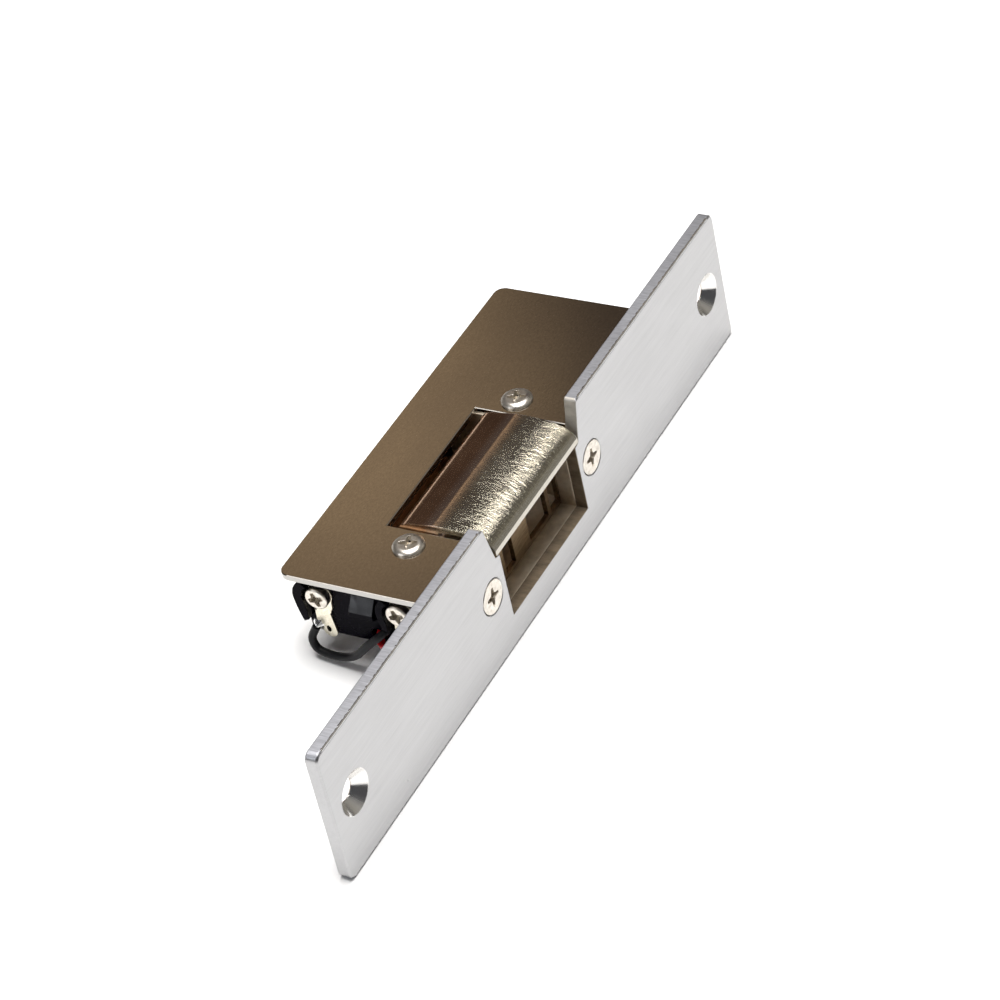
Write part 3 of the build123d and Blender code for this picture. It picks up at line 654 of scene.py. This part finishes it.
@dataclass(frozen=True)
class WoundCopper:
    """Enamelled copper wire laid in neat turns round the bobbin."""

    name: str = "copper_wire"
    gap: Color = (0.16, 0.05, 0.02)
    wire: Color = (0.62, 0.26, 0.10)
    varnish: Color = (0.36, 0.14, 0.05)
    pitch: float = 0.22 * MM

    def material(self) -> bpy.types.Material:
        """Builds the material.

        Returns:
            The finished material.
        """
        g = Graph(self.name)
        g.set(Metallic=0.85)
        turns = g.tree.nodes.new(Texture.WAVE.value)
        turns.bands_direction = "X"
        turns.inputs["Scale"].default_value = 0.31 / self.pitch
        turns.inputs["Distortion"].default_value = 0.4
        g.link(g.coords, turns.inputs["Vector"])
        stain = g.pattern((160.0, 160.0, 160.0), detail=3.0)
        body = g.ramp(turns.outputs["Fac"], (0.1, self.gap), (0.8, self.wire))
        g.color(g.mix(g.span(stain, 0.4, 0.8, 0.0, 0.4), body, self.varnish))
        g.roughness(g.span(stain, 0.3, 0.7, 0.25, 0.38))
        g.relief((turns.outputs["Fac"], 0.6, 0.1 * MM))
        return g.material


@dataclass(frozen=True)
class FinishSet:
    """Every finish of the strike, built once."""

    screws: PlatedMetal = PlatedMetal(
        "nickel_screws", pale=(0.84, 0.80, 0.73), deep=(0.58, 0.53, 0.46), rough=(0.26, 0.38)
    )
    bright: PlatedMetal = PlatedMetal("bright_steel", pale=(0.78, 0.78, 0.78), deep=(0.52, 0.52, 0.53))
    spring: PlatedMetal = PlatedMetal("spring_steel", pale=(0.55, 0.55, 0.56), deep=(0.30, 0.30, 0.31))
    bronzed: PlatedMetal = PlatedMetal(
        "bronzed_steel",
        pale=(0.34, 0.25, 0.15),
        deep=(0.18, 0.125, 0.075),
        rough=(0.30, 0.45),
        grain=(300.0, 900.0, 1800.0),
    )
    zinc: PlatedMetal = PlatedMetal(
        "zinc_plated_steel", pale=(0.70, 0.71, 0.73), deep=(0.48, 0.49, 0.51), rough=(0.28, 0.42)
    )
    brass: PlatedMetal = PlatedMetal("brass_insert", pale=(0.78, 0.60, 0.30), deep=(0.52, 0.38, 0.17))
    tinned: PlatedMetal = PlatedMetal(
        "tinned_brass", pale=(0.93, 0.88, 0.74), deep=(0.76, 0.70, 0.55), rough=(0.26, 0.42)
    )
    # painted highlight: the burr's near-white colour, far paler than the plate's steel, makes its ragged
    # edge glint; the burr itself is real
    burr: PlatedMetal = PlatedMetal(
        "glinting_burr", pale=(0.95, 0.95, 0.96), deep=(0.75, 0.75, 0.77), rough=(0.12, 0.22)
    )
    solder: PlatedMetal = PlatedMetal(
        "solder", pale=(0.86, 0.86, 0.84), deep=(0.60, 0.60, 0.58), rough=(0.16, 0.30)
    )
    black: GlossMoulding = GlossMoulding(
        "black_plastic", tint=(0.002, 0.0015, 0.004), worn=(0.006, 0.006, 0.008), specular=0.42
    )
    white: GlossMoulding = GlossMoulding(
        "white_plastic", tint=(0.80, 0.79, 0.74), worn=(0.62, 0.61, 0.56), rough=(0.35, 0.5)
    )
    black_lead: LeadJacket = LeadJacket(
        "black_lead", tint=(0.005, 0.005, 0.006), bloom=(0.014, 0.014, 0.017)
    )
    red_lead: LeadJacket = LeadJacket("red_lead", tint=(0.42, 0.006, 0.010), bloom=(0.60, 0.03, 0.03))
    faceplate: BrushedFaceplate = BrushedFaceplate()
    cover: SatinCover = SatinCover()
    keeper: GroundNickel = GroundNickel()
    casting: CastZinc = CastZinc()
    winding: WoundCopper = WoundCopper()

    def build(self) -> Finishes:
        """Builds every material.

        Returns:
            Materials by the name of the record's slot or of the extra finish.
        """
        kinds = [getattr(self, name) for name in self.__dataclass_fields__]
        return {kind.name: kind.material() for kind in kinds}


def dress(frame: dict, finishes: Finishes, pairs: Sequence[tuple[str, str]]) -> None:
    """Gives parts their finishes and reports each.

    Args:
        frame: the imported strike.
        finishes: every material by name.
        pairs: each part's name and its finish.
    """
    for node, finish in pairs:
        frame["nodes"][node].material_slots[0].material = finishes[finish]
        LOG.info("dressed %s in %s", node, finish)


def rounded(node: bpy.types.Object, width: float, segments: int = 3) -> None:
    """Softens a part's sharp edges with a modifier.

    Args:
        node: the part.
        width: width of the rounding in metres.
        segments: facets across it.
    """
    soft = node.modifiers.new("softened_edges", "BEVEL")
    soft.width = width
    soft.segments = segments
    soft.limit_method = "ANGLE"
    soft.angle_limit = math.radians(40)


def mesh_object(
    name: str,
    points: list[Vector],
    faces: list[tuple[int, ...]],
    smooth: bool,
) -> bpy.types.Object:
    """Makes an object from points and faces.

    Args:
        name: the object's name.
        points: corner positions in metres.
        faces: corner numbers of each face.
        smooth: whether it shades smoothly.

    Returns:
        The new object.
    """
    data = bpy.data.meshes.new(name)
    data.from_pydata([tuple(p) for p in points], [], faces)
    data.validate()
    for polygon in data.polygons:
        polygon.use_smooth = smooth
    made = bpy.data.objects.new(name, data)
    bpy.context.scene.collection.objects.link(made)
    return made


@dataclass
class Faceplate:
    """The long plate and the burr that shearing left along its front edge."""

    frame: dict
    finishes: Finishes
    notch: float = 19.3 * MM
    burr_start: float = 0.8 * MM
    burr_end: float = 2.0 * MM
    burr_step: float = 0.35 * MM
    burr_height: float = 0.16 * MM
    burr_depth: float = 0.30 * MM

    def dress(self) -> None:
        """Gives the plate and its two screws their finishes."""
        pairs = (("faceplate", "stainless_faceplate"), ("faceplate_screws", "nickel_screws"))
        dress(self.frame, self.finishes, pairs)

    def burr(self, side: Side) -> bpy.types.Object:
        """A thin ragged bright edge along the top front corner on one side of the notch.

        Args:
            side: which end of the plate.

        Returns:
            The burr.
        """
        low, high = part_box("faceplate")
        rng = random.Random(11 + side.value)
        start = self.notch + self.burr_start
        end = high.x - self.burr_end
        count = int((end - start) / self.burr_step)
        points: list[Vector] = []
        faces: list[tuple[int, ...]] = []
        for k in range(count + 1):
            x = side.value * (start + k * self.burr_step + rng.uniform(-0.3, 0.3) * self.burr_step)
            lift = self.burr_height * (0.15 + 0.85 * rng.random() ** 2)
            reach = self.burr_depth * (0.5 + 0.5 * rng.random())
            points.append(Vector((x, low.y + 0.42 * MM + reach, high.z - 0.02 * MM)))
            points.append(Vector((x, low.y + 0.30 * MM, high.z + 0.25 * lift)))
            points.append(Vector((x, low.y + 0.10 * MM - 0.2 * lift, high.z - 0.18 * MM)))
            points.append(Vector((x, low.y + 0.02 * MM, high.z - 0.42 * MM - 0.3 * reach)))
        for k in range(count):
            for j in range(3):
                a = 4 * k + j
                faces.append((a, a + 1, a + 5, a + 4))
        made = mesh_object(f"plate_burr_{side.name.lower()}", points, faces, smooth=False)
        made.data.materials.append(self.finishes["glinting_burr"])
        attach(made, "body")
        LOG.info("made %s", made.name)
        return made


@dataclass
class Body:
    """The casting, its cover and the screws on it."""

    frame: dict
    finishes: Finishes

    def dress(self) -> None:
        """Gives the body's parts their finishes."""
        pairs = (
            ("housing", "zinc_casting"),
            ("cover_plate", "stainless_cover"),
            ("cover_screws", "nickel_screws"),
            ("latch_guide", "bronzed_steel"),
        )
        dress(self.frame, self.finishes, pairs)


@dataclass
class Mechanism:
    """The keeper and everything behind it that locks and frees it."""

    frame: dict
    finishes: Finishes

    def dress(self) -> None:
        """Gives the moving parts, springs, pins and coil their finishes."""
        pairs = (
            ("keeper", "nickel_keeper"),
            ("keeper_pin", "bright_steel"),
            ("keeper_springs", "spring_steel"),
            ("locking_lever", "zinc_plated_steel"),
            ("lever_pin", "bright_steel"),
            ("lever_spring", "spring_steel"),
            ("armature", "zinc_plated_steel"),
            ("armature_pin", "bright_steel"),
            ("armature_clip", "spring_steel"),
            ("armature_spring", "spring_steel"),
            ("yoke", "zinc_plated_steel"),
            ("core", "bright_steel"),
            ("bobbin", "white_plastic"),
            ("winding", "copper_wire"),
            ("coil_screw", "nickel_screws"),
        )
        dress(self.frame, self.finishes, pairs)


@dataclass
class Terminals:
    """The black block, its screws and tags, the leads and their solder."""

    frame: dict
    finishes: Finishes
    terminal_y: tuple[float, float] = (26.7 * MM, 9.5 * MM)
    tail_y: float = 2.2 * MM
    tail_z: float = -3.8 * MM
    solder_radius: float = 0.85 * MM
    solder_height: float = 1.1 * MM
    solder_tip: float = 0.05 * MM
    block_edge: float = 0.30 * MM
    tag_edge: float = 0.10 * MM

    def dress(self) -> None:
        """Gives the wiring end's parts their finishes."""
        pairs = (
            ("terminal_block", "black_plastic"),
            ("terminal_screws", "nickel_screws"),
            ("terminal_inserts", "brass_insert"),
            ("solder_tags", "tinned_brass"),
            ("lead_black", "black_lead"),
            ("lead_red", "red_lead"),
        )
        dress(self.frame, self.finishes, pairs)
        rounded(self.frame["nodes"]["terminal_block"], self.block_edge)
        rounded(self.frame["nodes"]["solder_tags"], self.tag_edge, segments=2)

    def solder(self, name: str, place: Vector, seed: int) -> bpy.types.Object:
        """An uneven cone of solder where a lead meets its tag.

        Args:
            name: the piece's name.
            place: centre of its foot on the tag's face, in metres.
            seed: fixes its unevenness.

        Returns:
            The blob.
        """
        rng = random.Random(seed)
        rings, around = 9, 20
        points: list[Vector] = []
        faces: list[tuple[int, ...]] = []
        wobble = [rng.uniform(0.85, 1.15) for _ in range(around)]
        for i in range(rings):
            t = i / (rings - 1)
            radius = self.solder_radius * (1.0 - t) ** 0.6 * (1.0 + 0.25 * (1 - t) ** 4)
            for j in range(around):
                turn = 2 * math.pi * j / around
                swell = radius * (wobble[j] * (1 - t) + t) + self.solder_tip
                depth = self.solder_height * t ** 0.9
                step = Vector((-depth, swell * math.cos(turn), 1.15 * swell * math.sin(turn)))
                points.append(place + step)
        for i in range(rings - 1):
            for j in range(around):
                a, b = i * around + j, i * around + (j + 1) % around
                faces.append((a, b, b + around, a + around))
        faces.append(tuple(range((rings - 1) * around, rings * around)))
        made = mesh_object(name, points, faces, smooth=True)
        made.data.materials.append(self.finishes["solder"])
        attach(made, "body")
        LOG.info("made %s", made.name)
        return made

    def solder_joints(self) -> None:
        """Puts solder on each tag's rear tail, where its lead starts."""
        low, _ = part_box("solder_tags")
        for name, y, seed in zip(("solder_black", "solder_red"), self.terminal_y, (3, 5)):
            self.solder(name, Vector((low.x, y + self.tail_y, self.tail_z)), seed)


@dataclass(frozen=True)
class Lamp:
    """A soft square light that faces the strike."""

    name: str
    place: Triple
    size: float
    power: float
    tint: Color

    def build(self) -> None:
        """Puts the light in the scene."""
        data = bpy.data.lights.new(self.name, "AREA")
        data.shape = "RECTANGLE"
        data.size = self.size
        data.size_y = self.size
        data.energy = self.power
        data.color = self.tint
        made = bpy.data.objects.new(self.name, data)
        made.location = self.place
        made.rotation_mode = "QUATERNION"
        made.rotation_quaternion = (-Vector(self.place)).to_track_quat("-Z", "Y")
        bpy.context.scene.collection.objects.link(made)


@dataclass(frozen=True)
class Glow:
    """Light from one side of the room, by how nearly a direction meets that side."""

    side: Triple
    stops: Stops


@dataclass
class Studio:
    """Pale floor, soft light and the camera."""

    tilt: float = 7.92                # degrees, from the plate's lower edge up to the body's rear
    floor_size: float = 3.0
    floor_gap: float = 0.1 * MM
    paper_deep: Color = (0.93, 0.93, 0.935)
    paper_pale: Color = (0.95, 0.95, 0.95)
    camera_place: Triple = (-0.40387801, -0.28834449, 0.40539685)
    right: Triple = (0.45544021, -0.87169444, -0.18089506)
    up: Triple = (0.62865324, 0.17102126, 0.75864803)
    back: Triple = (-0.63037237, -0.45923908, 0.6258835)
    lens: float = 123.949
    room: Glow = Glow(
        (0.63, 0.45, 0.63),
        (
            (0.10, (0.075, 0.075, 0.08)),
            (0.60, (0.095, 0.088, 0.08)),
            (0.90, (0.07, 0.057, 0.049)),
            (1.0, (0.047, 0.037, 0.035)),
        ),
    )
    patches: tuple[Glow, ...] = (
        Glow(
            (0.622, 0.509, 0.595),
            (
                (0.9965, (0.0, 0.0, 0.0)),
                (0.9985, (0.14, 0.105, 0.07)),
                (0.9997, (0.64, 0.48, 0.305)),
            ),
        ),
        Glow((0.63, -0.75, 0.30), ((0.84, (0.0, 0.0, 0.0)), (0.97, (0.26, 0.245, 0.21)))),
    )
    lamps: tuple[Lamp, ...] = (
        Lamp("overhead", (0.05, -0.05, 1.05), size=0.66, power=18.0, tint=(1.0, 0.99, 0.975)),
        Lamp("window", (-0.80, 0.50, 0.60), size=0.40, power=1.4, tint=(0.92, 0.95, 1.0)),
    )

    def floor(self) -> None:
        """A wide pale surface on which the plate's lower edge and the body's rear edge rest."""
        low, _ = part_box("faceplate")
        half = self.floor_size / 2
        made = mesh_object(
            "studio_floor",
            [Vector((half * i, half * j, 0.0)) for i, j in ((-1, -1), (1, -1), (1, 1), (-1, 1))],
            [(0, 1, 2, 3)],
            smooth=False,
        )
        foot = Matrix.Translation((0.0, low.y, low.z - self.floor_gap))
        made.matrix_world = foot @ Matrix.Rotation(math.radians(self.tilt), 4, "X")
        g = Graph("floor_paper")
        grain = g.pattern((500.0, 500.0, 500.0), detail=3.0)
        g.color(g.ramp(grain, (0.3, self.paper_deep), (0.7, self.paper_pale)))
        g.set(Roughness=0.9, Specular_IOR_Level=0.1)
        clear = g.tree.nodes.new("ShaderNodeBsdfTransparent")
        swap = g.tree.nodes.new("ShaderNodeMixShader")
        side = g.tree.nodes.new("ShaderNodeNewGeometry")
        g.link(side.outputs["Backfacing"], swap.inputs["Fac"])
        g.link(g.shader.outputs["BSDF"], swap.inputs[1])
        g.link(clear.outputs["BSDF"], swap.inputs[2])
        g.link(swap.outputs["Shader"], g.output.inputs["Surface"])
        made.data.materials.append(g.material)

    def sky(self) -> None:
        """A dim room, white to the camera, with a warm patch on its far side and a pale one in front."""
        world = bpy.data.worlds.new("room")
        bpy.context.scene.world = world
        world.use_nodes = True
        tree = world.node_tree
        tree.nodes.clear()
        out = tree.nodes.new("ShaderNodeOutputWorld")
        shade = tree.nodes.new("ShaderNodeBackground")
        light = self.layer(tree, self.room)
        for patch in self.patches:
            mix = self.mixer(tree, Blend.ADD, light)
            mix.inputs["Factor"].default_value = 1.0
            tree.links.new(self.layer(tree, patch), mix.inputs[7])
            light = mix.outputs[2]
        seen = self.mixer(tree, Blend.MIX, light)
        camera_ray = tree.nodes.new("ShaderNodeLightPath").outputs["Is Camera Ray"]
        tree.links.new(camera_ray, seen.inputs["Factor"])
        seen.inputs[7].default_value = (1.0, 1.0, 1.0, 1.0)
        tree.links.new(seen.outputs[2], shade.inputs["Color"])
        tree.links.new(shade.outputs["Background"], out.inputs["Surface"])

    def layer(self, tree: bpy.types.NodeTree, glow: Glow) -> bpy.types.NodeSocket:
        """Colours the room by direction.

        Args:
            tree: the world's node tree.
            glow: the side it looks to and the colours towards it.

        Returns:
            The colour output.
        """
        coords = tree.nodes.new("ShaderNodeTexCoord").outputs["Generated"]
        dot = tree.nodes.new("ShaderNodeVectorMath")
        dot.operation = "DOT_PRODUCT"
        dot.inputs[1].default_value = Vector(glow.side).normalized()
        tree.links.new(coords, dot.inputs[0])
        ramp = tree.nodes.new("ShaderNodeValToRGB")
        elements = ramp.color_ramp.elements
        while len(elements) < len(glow.stops):
            elements.new(0.5)
        for element, (place, color) in zip(elements, glow.stops):
            element.position = place
            element.color = (*color, 1.0)
        tree.links.new(dot.outputs["Value"], ramp.inputs["Fac"])
        return ramp.outputs["Color"]

    def mixer(
        self,
        tree: bpy.types.NodeTree,
        blend: Blend,
        first: bpy.types.NodeSocket,
    ) -> bpy.types.Node:
        """A node that joins a second colour to a first.

        Args:
            tree: the world's node tree.
            blend: how they combine.
            first: the first colour.

        Returns:
            The node.
        """
        mix = tree.nodes.new("ShaderNodeMix")
        mix.data_type = "RGBA"
        mix.blend_type = blend.value
        tree.links.new(first, mix.inputs[6])
        return mix

    def camera(self) -> None:
        """The camera, turned a little about its own axis."""
        data = bpy.data.cameras.new("view")
        data.lens = self.lens
        data.sensor_width = 36.0
        data.clip_start, data.clip_end = 0.01, 20.0
        made = bpy.data.objects.new("view", data)
        turn = Matrix((self.right, self.up, self.back)).transposed().to_4x4()
        made.matrix_world = Matrix.Translation(self.camera_place) @ turn
        bpy.context.scene.collection.objects.link(made)
        bpy.context.scene.camera = made

    def build(self) -> None:
        """Sets up everything round the strike."""
        self.camera()
        self.floor()
        self.sky()
        for lamp in self.lamps:
            lamp.build()
        bpy.context.scene.view_settings.view_transform = "Standard"
        bpy.context.scene.view_settings.look = "None"


def main() -> None:
    """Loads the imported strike, dresses it and sets up the studio."""
    logging.basicConfig(level=logging.INFO, format="%(name)s: %(message)s")
    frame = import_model()
    finishes = FinishSet().build()
    Studio().build()
    plate = Faceplate(frame, finishes)
    plate.dress()
    for side in Side:
        plate.burr(side)
    Body(frame, finishes).dress()
    Mechanism(frame, finishes).dress()
    terminals = Terminals(frame, finishes)
    terminals.dress()
    terminals.solder_joints()


if __name__ == "__main__":
    main()
